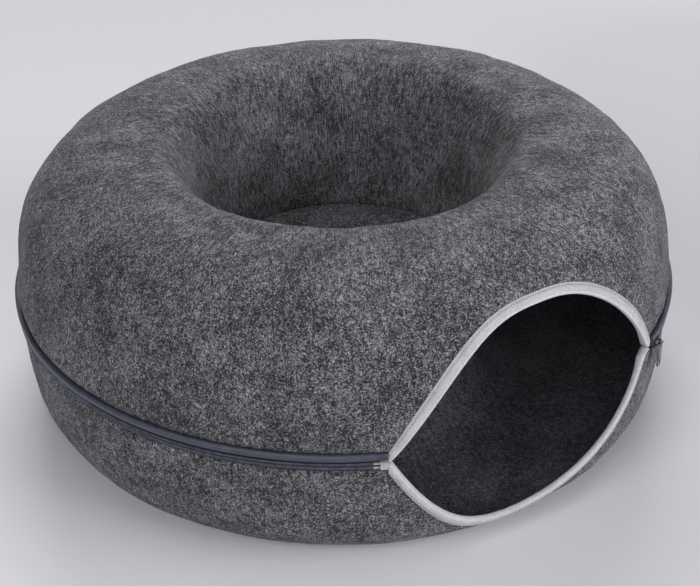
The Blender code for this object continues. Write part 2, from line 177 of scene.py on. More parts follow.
# %% [markdown]
# ## A place on the felt
#
# Every piece of this bed follows the felt, so places are given the way a sewer would: the
# azimuth round the bed, the arc from the zip line measured along the felt, and the lift
# outwards from its face.  The felt's section is made of superellipse quarters, a curve
# that is an ellipse at power 2 and gets squarer above it.

# %% The two halves in section
shortest_step = 1e-7


def quarter(start, end, power, samples=4000):
    """Superellipse quarter: it leaves start upright and reaches end level."""
    turn = np.linspace(0, math.pi / 2, samples)
    across = end[0] + (start[0] - end[0]) * np.cos(turn) ** (2 / power)
    height = start[1] + (end[1] - start[1]) * np.sin(turn) ** (2 / power)
    return np.column_stack([across, height])


def running_length(*steps):
    """The length along a line from its start, as the sum of its steps."""
    return np.concatenate([[0], np.cumsum(np.hypot(*steps))])


def stacked(*parts):
    """Arrays and numbers spread to one shape and joined along a new last axis."""
    return np.stack(np.broadcast_arrays(*parts), axis=-1)


def round_axis(azimuth, radius, height):
    """Points at azimuths from the front, radii from the bed's axis and heights."""
    return stacked(radius * np.sin(azimuth), bed_axis_y - radius * np.cos(azimuth), height)


class Half:
    """A felt half: its outer face in section, as radius and height along its arc."""

    def __init__(self, name, side, first, last, inner_edge, outer_edge):
        self.name, self.side, self.body = name, side, name + "_half"
        self.inner_edge, self.outer_edge = inner_edge, outer_edge
        points = np.vstack([first, last[::-1]])
        steps = np.hypot(*np.diff(points, axis=0).T)
        points = points[np.append(True, steps > shortest_step)]
        self.arc = running_length(*np.diff(points, axis=0).T)
        self.end = self.arc[-1]
        along = np.gradient(points, self.arc, axis=0)
        along = along / np.hypot(*along.T)[:, None]
        self.table = [*points.T, side * along[:, 1], -side * along[:, 0]]

    def read(self, arc):
        """Radius and height of the face at an arc, and then those of its normal."""
        return [np.interp(arc, self.arc, values) for values in self.table]

    def place(self, azimuth, arc, lift):
        """Points at azimuths, arcs and lifts: the face's point moved along its normal."""
        radius, height, out, up = self.read(arc)
        return round_axis(azimuth, radius + lift * out, height + lift * up)


zip_line, crest = (bed_radius, zip_height), (crest_radius, bed_height)
floor_top = (bowl_radius, bowl_floor_height + seat_gap)
floor_underside = (bowl_radius, bowl_floor_height - felt_thickness - seat_gap)
shoulder = quarter(zip_line, crest, shoulder_power)
funnel = quarter(floor_top, crest, funnel_power)
foot = quarter(zip_line, (base_outer_radius, 0), foot_power)
hill = quarter(floor_underside, (base_inner_radius, 0), funnel_power)
upper = Half("upper", 1, shoulder, funnel, upper_inner_edge, upper_outer_edge)
lower = Half("lower", -1, foot, hill, lower_inner_edge, lower_outer_edge)
print("arc of the upper half:", round(upper.end, 4), "m, of the lower:", round(lower.end, 4), "m")

# %% [markdown]
# ## From a grid of points to a mesh
#
# All new surfaces are grids: a function of two parameters worked out as whole arrays.
# One helper joins the grid into quads, wraps it where it closes, caps it where it ends,
# turns it outside out by its signed volume, and keeps two maps for the finishes: a UV map
# in metres, and a flow vector that wraps round the bed with no seam.

# %% The grid helper
flow_radius = 0.22


def corner_index(rows, columns, wrap_rows=False):
    """Vertex numbers as a grid whose first column, and row if told, come again at its end."""
    index = np.arange(rows * columns).reshape(rows, columns)
    if wrap_rows:
        index = np.vstack([index, index[:1]])
    return np.hstack([index, index[:, :1]])


def quad_corners(table):
    """Each quad's four corners, read from a grid of values."""
    corners = np.stack([table[:-1, :-1], table[1:, :-1], table[1:, 1:], table[:-1, 1:]], axis=2)
    return corners.reshape(-1, 4, *table.shape[2:])


def signed_volume(points, quads):
    """Six times the volume inside: the sum of both triple products of each quad."""
    a, b, c, d = (points[quads[:, k]] for k in range(4))
    return np.sum(a * (np.cross(b, c) + np.cross(c, d)))


def mesh_from_arrays(name, points, loops, starts):
    """A mesh from vertex places, the corner list and where each face starts in it."""
    mesh = bpy.data.meshes.new(name)
    mesh.vertices.add(len(points))
    mesh.vertices.foreach_set("co", points.astype(np.float32).ravel())
    mesh.loops.add(len(loops))
    mesh.loops.foreach_set("vertex_index", loops.astype(np.int32))
    mesh.polygons.add(len(starts))
    mesh.polygons.foreach_set("loop_start", starts.astype(np.int32))
    mesh.update(calc_edges=True)
    mesh.shade_smooth()
    return mesh


def grid_mesh(name, grid, along, across, wrap_rows=False, azimuth=None, arc=None):
    """Join a grid of closed rows into quads and keep its UV and flow maps.

    along and across are the UV values of the rows and columns, with across one value
    longer.  Where the rows don't wrap, the first and the last one are capped.
    """
    rows, columns = grid.shape[:2]
    index = corner_index(rows, columns, wrap_rows)
    quads = quad_corners(index)
    points = grid.reshape(-1, 3)
    uv = stacked(along[:, None], across[None, :])
    loops, corner_uv = quads.reshape(-1), quad_corners(uv).reshape(-1, 2)
    starts = np.arange(len(quads)) * 4
    if not wrap_rows:
        starts = np.concatenate([starts, [len(loops), len(loops) + columns]])
        loops = np.concatenate([loops, index[0, :-1], index[-1, :-1][::-1]])
        corner_uv = np.vstack([corner_uv, uv[0, :-1], uv[-1, :-1][::-1]])
    mesh = mesh_from_arrays(name, points, loops, starts)
    layer = mesh.uv_layers.new(name="along_across")
    layer.data.foreach_set("uv", corner_uv.astype(np.float32).ravel())
    if azimuth is not None:
        flow = stacked(flow_radius * np.cos(azimuth), flow_radius * np.sin(azimuth), arc)
        store = mesh.attributes.new("flow", "FLOAT_VECTOR", "POINT")
        store.data.foreach_set("vector", flow.astype(np.float32).ravel())
    if signed_volume(points, quads) < 0:
        mesh.flip_normals()
    return mesh


def linked(data):
    """A new object of the scene that holds the data and has its name."""
    item = bpy.data.objects.new(data.name, data)
    scene.collection.objects.link(item)
    return item


def show(mesh, finish, body):
    """Make a mesh an object that rides on a body and has a finish."""
    piece = linked(mesh)
    mesh.materials.append(finish)
    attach(piece, body)
    print(mesh.name, len(mesh.polygons), "faces on", body)
    return piece


# %% [markdown]
# ## Writing node finishes as sums
#
# A finish is a small program of shader nodes.  Two short classes let it be written as
# ordinary arithmetic: a Wire is a socket that adds a Math node for each operator, and a
# Recipe holds one material and makes any other node from its type, settings and sockets.

# %% Wires and recipes
class Wire:
    """A socket that works in sums: each operator adds one Math node behind it."""

    def __init__(self, recipe, socket):
        self.recipe = recipe
        self.socket = socket

    def math(self, operation, *terms):
        return self.recipe.node("ShaderNodeMath", {"operation": operation},
                                dict(enumerate(terms)))

    def __add__(self, other):
        return self.math("ADD", self, other)

    def __sub__(self, other):
        return self.math("SUBTRACT", self, other)

    def __rsub__(self, other):
        return self.math("SUBTRACT", other, self)

    def __mul__(self, other):
        return self.math("MULTIPLY", self, other)

    def __pow__(self, other):
        return self.math("POWER", self, other)

    __radd__ = __add__
    __rmul__ = __mul__

    def largest(self, other):
        return self.math("MAXIMUM", self, other)

    def sine(self):
        return self.math("SINE", self)

    def ease(self, low, high):
        """Nothing below low, one above high, smooth between."""
        return self.recipe.node("ShaderNodeMapRange", {"interpolation_type": "SMOOTHSTEP"},
                                {"Value": self, "From Min": low, "From Max": high})

    def near(self, middle, half_width):
        """One at and close to the middle, and nothing from half a width away."""
        away = self.math("ABSOLUTE", self - middle)
        return (1 - away * (1 / half_width)).ease(0.0, 0.8)


class Recipe:
    """One material: its shader, the place on the piece and the nodes between them."""

    def __init__(self, name, **constants):
        self.material = bpy.data.materials.new(name)
        self.material.use_nodes = True
        self.tree = self.material.node_tree
        self.shader = self.tree.nodes["Principled BSDF"]
        self.place = self.node("ShaderNodeTexCoord", {}, {}, "Object")
        for key, value in constants.items():
            socket = key.replace("_", " ").title().replace("Ior", "IOR")
            self.shader.inputs[socket].default_value = value

    def node(self, kind, settings, sockets, out=0):
        """A node with its settings made first, then its sockets' values or links."""
        made = self.tree.nodes.new(kind)
        for key, value in settings.items():
            setattr(made, key, value)
        for key, value in sockets.items():
            if isinstance(value, Wire):
                self.tree.links.new(value.socket, made.inputs[key])
            else:
                made.inputs[key].default_value = value
        return Wire(self, made.outputs[out])

    def feed(self, socket, wire):
        self.tree.links.new(wire.socket, self.shader.inputs[socket])

    def uv_parts(self):
        """The UV map's two values: metres along the piece, and metres across it."""
        place = self.node("ShaderNodeUVMap", {"uv_map": "along_across"}, {})
        parts = self.node("ShaderNodeSeparateXYZ", {}, {0: place})
        return parts, Wire(self, parts.socket.node.outputs[1])

    def noise(self, size, detail=2.0, roughness=0.5, distortion=0.0, turn=(0, 0, 0), place=None):
        """Noise in grains of one size, or of three sizes along axes that are turned."""
        sizes = size if isinstance(size, tuple) else (size, size, size)
        grains = self.node("ShaderNodeMapping", {"vector_type": "TEXTURE"},
                           {"Vector": place or self.place, "Rotation": turn, "Scale": sizes})
        return self.node("ShaderNodeTexNoise", {},
                         {"Vector": grains, "Scale": 1.0, "Detail": detail,
                          "Roughness": roughness, "Distortion": distortion})

    def blend(self, factor, one, two):
        """A colour between two others, each a wire or its red, green and blue."""
        one, two = (end if isinstance(end, Wire) else (*end, 1.0) for end in (one, two))
        return self.node("ShaderNodeMix", {"data_type": "RGBA"}, {0: factor, 6: one, 7: two}, 2)

    def bump(self, height, distance, strength, below=None):
        sockets = {"Height": height, "Distance": distance, "Strength": strength}
        if below is not None:
            sockets["Normal"] = below
        return self.node("ShaderNodeBump", {}, sockets)


# %% [markdown]
# ## Felt
#
# Needled grey felt is black, navy and pale fibres pressed into a sheet.  From a step away
# it reads as fine speckle with curled pale hairs, over cloudy patches a few centimetres
# wide.  A tiled picture would repeat itself and blur close up, so all of it is worked out
# from noise.  The grain is drawn out along the arc where the sheet was pulled over the
# mould, which the flow map follows.  Thin hairs are the lines where a noise passes its
# middle value.  On the tunnel's side the felt is calmer and bluer: there the flow map's
# arc runs on past the end of the section, so the finish can tell the two sides apart.

# %% The felt's finish
fibre_size = (0.0009, 0.0009, 0.0042)
fibre_turns = ((0.5, 0.2, 0.0), (2.0, 0.3, 0.6), (1.3, 0.9, 2.2), (1.7, 0.4, 1.5))
grain_size, patch_size = (0.0011, 0.0011, 0.0017), (0.0050, 0.0050, 0.0085)
streak_size = (0.0011, 0.0011, 0.0075)
cloud_size, tuft_size = 0.035, 0.0045
pale_hair = {"size": (0.0026, 0.0020, 0.0020), "turn": (0.4, 0.2, 0.9), "width": 0.055}
dark_hair = {"size": (0.0020, 0.0027, 0.0020), "turn": (1.2, 0.7, 0.3), "width": 0.060}
funnel_start, funnel_full = 0.15, 0.25
side_change = 0.004


def fibre_fields(recipe):
    """Noises drawn out four ways: their sum less its mean, and their largest."""
    fields = [recipe.noise(fibre_size, 1.0, 0.5, 0.5, turn) for turn in fibre_turns]
    total, topmost = fields[0], fields[0]
    for field in fields[1:]:
        total, topmost = total + field, topmost.largest(field)
    return total - 0.5 * len(fields), topmost


def curled_hairs(recipe, size, turn, width):
    """Lines where a noise passes its middle value, broken up by a slower noise."""
    line = recipe.noise(size, 1.0, 0.5, 0.8, turn)
    presence = recipe.noise(tuft_size, turn=turn)
    return line.near(0.5, width) * presence.ease(0.46, 0.60)


def felt_finish(name, shade):
    """Fibres, hairs, patches and clouds, each times its weight, added to one.

    The sum is raised to a power, which keeps the dark gaps deep and lets single pale
    fibres stand out.
    """
    recipe = Recipe(name, roughness=0.93, sheen_weight=0.04, sheen_roughness=0.55)
    flow = recipe.node("ShaderNodeAttribute", {"attribute_name": "flow"}, {}, "Vector")
    arc = recipe.node("ShaderNodeSeparateXYZ", {}, {0: flow}, 2)
    in_funnel = arc.ease(funnel_start, funnel_full)
    in_tunnel = (arc.ease(upper.end, upper.end + side_change)
                 + (arc * -1).ease(lower.end, lower.end + side_change))
    crossed, topmost = fibre_fields(recipe)
    grain = recipe.noise(grain_size, 2.0, 0.60, place=flow)
    patch = recipe.noise(patch_size, place=flow)
    cloud = recipe.noise(cloud_size)
    streak = recipe.noise(streak_size, 2.0, 0.55, 0.4, place=flow)
    pale_hairs = curled_hairs(recipe, **pale_hair)
    mask = crossed * 2.6 + (topmost - 0.62) * 1.6 + (grain - 0.5) * 4.7
    mask = mask + pale_hairs - curled_hairs(recipe, **dark_hair) * 1.15
    mask = mask * (1 - in_funnel * 0.40) + (streak - 0.5) * (in_funnel * 2.6 + 1.9)
    mask = (mask + (patch - 0.5) * 1.9 + (cloud - 0.5) * 1.8) * (1 - in_tunnel * 0.45)
    fibre = (mask + 1).largest(0.05) ** 1.4 * shade
    pale = recipe.blend(in_tunnel, (0.975, 0.965, 1.06), (0.98, 0.965, 1.18))
    recipe.feed("Base Color", recipe.blend(fibre, (0.004, 0.004, 0.006), pale))
    height = crossed * 0.5 + grain * 0.5 + pale_hairs * 0.5 + patch * 0.8
    recipe.feed("Normal", recipe.bump(height, 0.0008, 0.6))
    return recipe.material


felt = felt_finish("grey_needled_felt", 0.0765)
print("felt finish:", len(felt.node_tree.nodes), "nodes")

# %% [markdown]
# ## Woven tape, zip cloth, nylon and metal
#
# The pale binding is a plain-woven tape, with painted highlights along both edges and
# painted shade in its sewn groove.  The zip's cloth is a finer navy one, glossier on the
# welt, with painted shade along the welt's lower crease and at its folded left end, and
# painted a tone darker above the coils than below them, as painted shade under the welt.
# All use their UV map in metres, so the weave follows the piece: a product of two sine
# waves gives the over and under of the threads.  Nylon is smooth with a faint haze, and
# the slider and puller are plated metal that is rubbed pale on its edges.

# %% Cloth, nylon and metal
def woven_finish(name, ground, raised, pitch, depth, bands=(), marks=(), **constants):
    """Threads from two crossed sine waves, with slow stains and a fine uneven lustre.

    A band lies along the cloth and a mark across it: its place, half width and strength.  The
    bands and marks given below are painted highlights and painted shade.
    """
    recipe = Recipe(name, **constants)
    along, across = recipe.uv_parts()
    turn = math.tau / pitch
    weave = (along * turn).sine() * (across * turn).sine()
    ribs = (across * (turn / 2)).sine()
    stain = recipe.noise(0.012)
    slub = recipe.noise(0.0012, 3.0, 0.6)
    mask = 0.5 + weave * 0.25 + ribs * 0.08 + (stain - 0.5) * 0.8 + (slub - 0.5) * 1.5
    lines = [(across, *band) for band in bands] + [(along, *mark) for mark in marks]
    for measure, middle, half_width, strength in lines:
        mask = mask + measure.near(middle, half_width) * strength
    recipe.feed("Base Color", recipe.blend(mask.ease(-0.1, 1.1), ground, raised))
    crease = recipe.noise(0.006, 2.0, 0.5, 0.4)
    low = recipe.bump(crease, 0.0012, 0.35)
    recipe.feed("Normal", recipe.bump(weave + ribs * 0.4 + slub, depth, 0.6, low))
    return recipe.material


def nylon_finish(name, ground, raised, roughness):
    """Moulded nylon: a slow change of tone, and fine flow marks in its gloss."""
    recipe = Recipe(name)
    haze = recipe.noise(0.004)
    marks = recipe.noise((0.0006, 0.0006, 0.0018), 3.0, 0.6)
    recipe.feed("Base Color", recipe.blend(haze.ease(0.25, 0.75), ground, raised))
    recipe.feed("Roughness", (marks - 0.5) * 0.25 + roughness)
    recipe.feed("Normal", recipe.bump(marks, 0.0001, 0.5))
    return recipe.material


def metal_finish(name, ground, worn, roughness):
    """Plated metal: clouded gloss, and pale wear where the form turns sharply."""
    recipe = Recipe(name, metallic=0.85)
    haze = recipe.noise(0.0045)
    edge = recipe.node("ShaderNodeNewGeometry", {}, {}, "Pointiness")
    wear = edge.ease(0.52, 0.62) * haze.ease(0.30, 0.60) * 0.8
    recipe.feed("Base Color", recipe.blend(wear, ground, worn))
    recipe.feed("Roughness", (haze - 0.5) * 0.25 + roughness)
    scratch = recipe.noise((0.0003, 0.0020, 0.0003), 3.0, turn=(0.3, 0.9, 0.2))
    recipe.feed("Normal", recipe.bump(scratch, 0.00005, 0.4))
    return recipe.material


# %% This bed's own finishes
# These bands are painted highlights at the tape's outer selvedge and at its fold, and painted
# shade along two lines in its sewn groove.
tape_highlight_and_shade_bands = ((0.0, 0.0010, 0.55), (0.0021, 0.0008, -0.42), (0.0037, 0.0006, -0.25),
              (tape_width, 0.0017, 0.40))
binding_tape = woven_finish(
    "pale_woven_tape", (0.345, 0.345, 0.37), (0.61, 0.61, 0.64), 0.0008, 0.00012,
    tape_highlight_and_shade_bands, roughness=0.75, sheen_weight=0.10)
welt_length = (math.tau - 2 * zip_start_angle) * zip_radius
# The welt's band and mark are painted shade: darker along its lower crease above the coils, and
# near its left end, where it is folded under.
welt_cloth = woven_finish(
    "navy_welt_cloth", (0.023, 0.026, 0.044), (0.063, 0.070, 0.108), 0.0006,
    0.00005, ((0.0, 0.0016, -0.5),), ((welt_length, 0.0120, -1.2),), roughness=0.36,
    specular_ior_level=0.6)
# The upper zip tape is the same cloth as the lower one, painted darker as painted shade under the
# welt.
tape_cloth = woven_finish(
    "upper_zip_cloth_painted_shade", (0.006, 0.007, 0.013), (0.022, 0.025, 0.040), 0.0006,
    0.00006, roughness=0.60, specular_ior_level=0.25)
lower_tape_cloth = woven_finish(
    "navy_zip_cloth", (0.013, 0.015, 0.027), (0.038, 0.043, 0.068), 0.0006,
    0.00006, roughness=0.55, specular_ior_level=0.35)
zip_nylon = nylon_finish("navy_zip_nylon", (0.072, 0.078, 0.104), (0.155, 0.165, 0.215), 0.16)
stop_nylon = nylon_finish("dark_stop_nylon", (0.020, 0.022, 0.030), (0.050, 0.054, 0.070), 0.30)
pale_nylon = nylon_finish("pale_zip_nylon", (0.32, 0.300, 0.305), (0.46, 0.435, 0.44), 0.45)
slider_metal = metal_finish("dark_plated_metal", (0.050, 0.055, 0.062), (0.40, 0.42, 0.44), 0.30)
puller_metal = metal_finish("grey_plated_metal", (0.066, 0.086, 0.092), (0.40, 0.43, 0.44), 0.34)
# The binding's thread is painted darker than the tape, as painted shade of its needle holes.
thread_painted_shade = nylon_finish("binding_thread_painted_shade", (0.16, 0.16, 0.18), (0.30, 0.30, 0.33), 0.55)
seam_thread = nylon_finish("grey_thread", (0.09, 0.09, 0.10), (0.24, 0.24, 0.26), 0.55)
print("finishes:", len(bpy.data.materials))

# %% [markdown]
# ## The moulded felt halves
#
# Each half is one sheet of felt about five millimetres thick, pressed over a mould.  The
# solid has the right shape but few faces, and subdividing it would blur its cut edges.
# So the same section is carried round the bed in fine steps.  The rows nearest the zip
# climb over the entrance and fade back to level rows higher up, and small waves of random
# length give the slight unevenness of real felt.  The waves die out at the zip and at the
# entrance, where tape holds the felt.

# %% Waves and seams in the felt
slow_waves = (0.00045, 14, 0.050, 0.180)
quick_waves = (0.00012, 14, 0.012, 0.035)
seam_waves = (0.30, 10, 0.025, 0.120)
swell_height, swell_width = 0.0013, 0.0058
groove_depth, groove_width = 0.0009, 0.0020
swell_and_groove_at = {"upper": (0.0180, 0.0116), "lower": (0.0130, 0.0068)}
seam_fade_angle = 0.05


def smoothstep(low, high, value):
    """Nothing below low, one above high, and a smooth cubic between them."""
    share = np.clip((value - low) / (high - low), 0, 1)
    return share * share * (3 - 2 * share)


def from_front(azimuth):
    """The azimuth as a turn to the right or left of the entrance's middle."""
    return (azimuth + math.pi) % math.tau - math.pi


def soft_waves(azimuth, arc, height, count, shortest, longest):
    """A sum of cosine waves with random directions, phases and whole turns round the bed."""
    field = np.zeros(np.broadcast(azimuth, arc).shape)
    for _ in range(count):
        length = shortest * (longest / shortest) ** scatter.random()
        heading = scatter.random() * math.tau
        turns = round(math.cos(heading) * math.tau * flow_radius / length)
        climb = math.sin(heading) * math.tau / length
        field = field + np.cos(turns * azimuth + climb * arc + scatter.random() * math.tau)
    return height * field / math.sqrt(count / 2)


def seam_relief(half, azimuth, arc):
    """How the zip's seam shapes the felt: a groove along the seam and a soft swell past it.

    Both are Gaussian bells over the arc, and they end before the entrance.
    """
    beside = smoothstep(0, seam_fade_angle, np.abs(from_front(azimuth)) - entrance_end_angle)
    uneven = 1 + soft_waves(azimuth, 0 * azimuth, *seam_waves)
    swell_at, groove_at = swell_and_groove_at[half.name]
    swell = swell_height * np.exp(-((arc - swell_at) / swell_width) ** 2) * uneven
    groove = groove_depth * np.exp(-((arc - groove_at) / groove_width) ** 2)
    return (swell - groove) * beside


# %% The felt halves
entrance_steps, round_steps = 150, 430
face_steps, back_steps = 112, 44
grip_share, grip_start, grip_width, grip_corner_angle = 0.62, 0.001, 0.030, 0.10
held_edge, free_edge = 0.006, 0.030
held_end, held_foot = 0.020, 0.015


def round_bed_angles():
    """Azimuths once round the bed, closer together over the entrance.

    Two of them stand close together at each corner, where the felt's edge makes a step.
    """
    front = np.linspace(-entrance_end_angle, entrance_end_angle, entrance_steps)
    back = np.linspace(zip_start_angle, math.tau - zip_start_angle, round_steps)
    return np.concatenate([front, back])


def felt_edge(half, azimuth):
    """Arc of the felt's cut edge: under the tape's fold, or under the zip's tape."""
    turned = from_front(azimuth)
    grow = stretch(half.inner_edge, turned)
    cut = half.inner_edge(turned) + seat_gap + (binding_thickness + seat_gap) * grow
    over = np.abs(turned) < (entrance_end_angle + zip_start_angle) / 2
    return np.where(over, cut, felt_setback)


def felt_depth(azimuth, beyond):
    """Thickness of the felt at a distance beyond its cut edge.

    The sewn tape pinches the edge: full thickness times one minus a share that dies out
    over the grip's width, and towards both corners of the entrance.
    """
    near_edge = 1 - smoothstep(grip_start, grip_width, beyond)
    to_corner = entrance_end_angle - np.abs(from_front(azimuth))
    off_corner = smoothstep(0, grip_corner_angle, to_corner)
    return felt_thickness * (1 - grip_share * near_edge * off_corner)


def felt_half(half, level_radius, fade):
    """A closed grid: out along the felt's face, round its end and back along its inside.

    A row's arc is its own arc plus the edge's rise times a falling power, so the rows
    follow the entrance at its edge and are level from a radius on.
    """
    turn_arc = half.arc[np.argmax(half.table[0] <= level_radius)]
    azimuth = round_bed_angles()[:, None]
    plain = np.linspace(felt_setback, half.end, face_steps)[None, :]
    rise = felt_edge(half, azimuth) - felt_setback
    fall = np.clip((turn_arc - plain) / (turn_arc - felt_setback), 0, 1) ** fade
    arc = plain + rise * fall
    hold = smoothstep(held_edge, free_edge, arc - felt_setback - rise)
    hold = hold * smoothstep(0, held_end, half.end - arc)
    hold = hold * smoothstep(0, held_foot, half.read(arc)[1])
    waves = soft_waves(azimuth, arc, *slow_waves)
    waves = waves + soft_waves(azimuth, arc, *quick_waves)
    outside = half.place(azimuth, arc, waves * hold + seam_relief(half, azimuth, arc))
    back = np.unique(np.linspace(0, face_steps - 1, back_steps).astype(int))[::-1]
    back_arc = arc[:, back]
    depth = felt_depth(azimuth, back_arc - felt_setback - rise)
    inside = half.place(azimuth, back_arc, (waves * hold)[:, back] - depth)
    arcs = np.concatenate([arc, 2 * half.end - back_arc], axis=1)
    around = np.concatenate([azimuth[:, 0], [azimuth[0, 0] + math.tau]]) * bed_radius
    across = np.concatenate([arcs[-1], arcs[-1, :1] + 2 * half.end])
    mesh = grid_mesh("felt_" + half.name, np.concatenate([outside, inside], axis=1), around,
                     across, wrap_rows=True, azimuth=azimuth, arc=half.side * arcs)
    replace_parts(show(mesh, felt, half.body), half.name + "_shell")


felt_half(upper, crest_radius, 1.5)
felt_half(lower, base_outer_radius, 1.2)

# %% [markdown]
# ## The bowl's floor
#
# A round piece of the same felt is sewn between the two inner walls and sags a little in
# its middle.  A filled circle has no inner points that could sag, so it is a disc worked
# out in rings: radius and height run from the middle of the top face, over a rounded rim,
# to the middle of the underside.

# %% The bowl's floor
floor_sides, floor_rings = 160, 40
floor_sag = 0.0022
middle_share = 0.004
floor_uv_step = 0.003


def bowl_floor_mesh():
    """Rings of a disc: its sag is one minus the share squared, squared; its rim half round."""
    rim = felt_thickness / 2
    flat_radius = bowl_radius + felt_thickness - rim
    share = np.linspace(middle_share, 1, floor_rings)
    top_radius = flat_radius * share
    sag = -floor_sag * (1 - share ** 2) ** 2
    turn = np.linspace(0, math.pi, 9)[1:-1]
    radii = np.concatenate([top_radius, flat_radius + rim * np.sin(turn), top_radius[::-1]])
    heights = np.concatenate([bowl_floor_height + sag,
                              bowl_floor_height - rim + rim * np.cos(turn),
                              bowl_floor_height - felt_thickness + sag[::-1]])
    azimuth = np.linspace(0, math.tau, floor_sides, endpoint=False)
    grid = round_axis(azimuth, radii[:, None], heights[:, None])
    return grid_mesh("felt_bowl_floor", grid, np.arange(len(radii)) * floor_uv_step,
                     np.linspace(0, math.tau * bowl_radius, floor_sides + 1),
                     azimuth=azimuth, arc=radii[:, None])


felt_floor = show(bowl_floor_mesh(), felt, "upper_half")
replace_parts(felt_floor, "bowl_floor")

# %% [markdown]
# ## The entrance's binding tape
#
# Pale tape is folded over the felt's cut edge and sewn through.  Its section is a
# rounded hook: an outer leg that thins towards its selvedge, a fold round the felt's
# edge and an inner leg.  A bevelled curve would keep one section all along, and this one
# narrows towards the corners, so each point of the edge has its own.  Faint random
# puckers keep the tape from looking ruled.

# %% The binding
tape_gap, tape_body = 0.0002, 0.0008
crown_height, crown_power = 0.0005, 0.7
seam_inset_share, seam_groove_share, seam_groove_depth = 0.27, 0.045, 0.0004
selvedge_share, selvedge_slope, leg_power = 0.25, 7, 1.15
inner_legs = np.array([1.0, 0.5, 0.0])[None, :]
puckers = (0.00010, 12, 0.006, 0.020)
pucker_turn = 12
tape_steps = 401


def tape_section(azimuth, reach, fold, cut):
    """Closed loops of (arc, lift), one row for each azimuth.

    Outside: a front leg with a low crown, half an ellipse round the felt's edge, and a back
    leg that follows the felt's inside.  Inside: straight back along both legs.
    """
    across = 1 - np.linspace(0, 1, 29)[None, :] ** leg_power
    front_arc = cut + (reach - cut) * across
    crown = np.sin(np.pi * across) ** crown_power * crown_height
    thin = np.minimum(1, selvedge_share + selvedge_slope * (1 - across))
    sewn = (1 - across - seam_inset_share) / seam_groove_share
    groove = seam_groove_depth * np.exp(-sewn ** 2)
    front_lift = tape_gap + tape_body * thin + crown - groove + 0 * front_arc
    back_lift = -felt_depth(azimuth, front_arc - cut) - tape_gap - tape_body * thin
    turn = np.linspace(0, math.pi, 15)[None, 1:-1]
    edge_depth = felt_depth(azimuth, 0 * cut)
    fold_height = (edge_depth + 2 * (tape_gap + tape_body)) / 2
    fold_arc = cut - (cut - fold) * np.sin(turn)
    fold_lift = -edge_depth / 2 + fold_height * np.cos(turn)
    inner_arc = cut + (reach - cut) * inner_legs
    inner_back = -felt_depth(azimuth, inner_arc - cut) - tape_gap
    arc = np.concatenate([front_arc, fold_arc, front_arc[:, ::-1], inner_arc,
                          inner_arc[:, ::-1]], axis=1)
    lift = np.concatenate([front_lift, fold_lift, back_lift[:, ::-1], inner_back,
                           tape_gap + 0 * inner_arc], axis=1)
    return arc, lift


def entrance_tape(half):
    """Carry the hook along the entrance's edge, from the left corner to the right one."""
    swing = np.linspace(-1, 1, tape_steps)[:, None]
    angles = entrance_end_angle * np.sin(swing * math.pi / 2)
    fold = half.inner_edge(angles) + seat_gap
    cut = fold + binding_thickness * stretch(half.inner_edge, angles)
    reach = np.maximum(half.outer_edge(angles), cut + binding_thickness)
    arcs, lifts = tape_section(angles, reach, fold, cut)
    length = running_length(np.diff(angles[:, 0]) * bed_radius, np.diff(fold[:, 0]))
    pucker = soft_waves(length[:, None] / flow_radius, pucker_turn * arcs, *puckers)
    outer_side = np.arange(arcs.shape[1]) < arcs.shape[1] - 2 * inner_legs.size
    lifts = lifts + pucker * outer_side * np.sign(lifts + felt_thickness / 4)
    grid = half.place(angles, arcs, lifts)
    middle = tape_steps // 2
    width = running_length(np.diff(arcs[middle]), np.diff(lifts[middle]))
    across = np.concatenate([width, [width[-1] + binding_thickness]])
    mesh = grid_mesh("binding_" + half.name, grid, length, across)
    piece = show(mesh, binding_tape, half.body)
    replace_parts(piece, "entrance_binding_" + half.name)
    print(mesh.name, round(float(length[-1]), 4), "m long")
    return angles[:, 0], reach[:, 0], cut[:, 0], length


tape_runs = {half: entrance_tape(half) for half in (upper, lower)}

# %% [markdown]
# ## Sewing stitches
#
# A stitch is a short stretch of thread that rises out of one needle hole and dives into
# the next.  The thread on the tape is painted darker than the tape, as painted shade of its
# needle holes, which is why the seam shows as a row of small dark dashes.  Copies of one
# object would be hundreds of pieces, so all stitches of a seam are one mesh: the grid of
# each runs along its own heading, is arched by a cosine and ends round.

# %% Stitches
stitch_rings, stitch_edges = 7, 6
arch_share, arch_dip = 0.9, 0.6
tip_roundness = 1.02


def stitches(name, seam, length, thickness, finish, body, slot):
    """Rows of arched capsules, one for each point of the seam, joined as one mesh.

    A ring's centre runs along the heading and is lifted by a cosine.  Its radius follows
    a half circle, so the ends are closed and round.
    """
    middles, headings, normals = (part[:, None, None, :] for part in seam)
    run = np.linspace(-1, 1, stitch_rings)[None, :, None, None]
    ring = np.linspace(0, math.tau, stitch_edges, endpoint=False)[None, None, :, None]
    along = length / 2 * np.sin(run * math.pi / 2)
    girth = thickness / 2 * np.sqrt(tip_roundness - run ** 2)
    arch = thickness * arch_share * (np.cos(run * math.pi / 2) - arch_dip)
    out = normals * np.cos(ring) + np.cross(normals, headings) * np.sin(ring)
    points = middles + headings * along + normals * arch + out * girth
    count, each = len(points), stitch_rings * stitch_edges
    index = corner_index(stitch_rings, stitch_edges)
    one, ends = quad_corners(index), np.concatenate([index[0, :-1], index[-1, :-1][::-1]])
    shift = (np.arange(count) * each)[:, None, None]
    quads = (one[None] + shift).reshape(-1)
    caps = (ends[None] + shift[:, :, 0]).reshape(-1)
    starts = np.concatenate([np.arange(len(quads) // 4) * 4,
                             len(quads) + np.arange(2 * count) * stitch_edges])
    mesh = mesh_from_arrays(name, points.reshape(-1, 3), np.concatenate([quads, caps]), starts)
    if signed_volume(points[0].reshape(-1, 3), one) < 0:
        mesh.flip_normals()
    print(name, count, "stitches")
    show(mesh, finish, body)


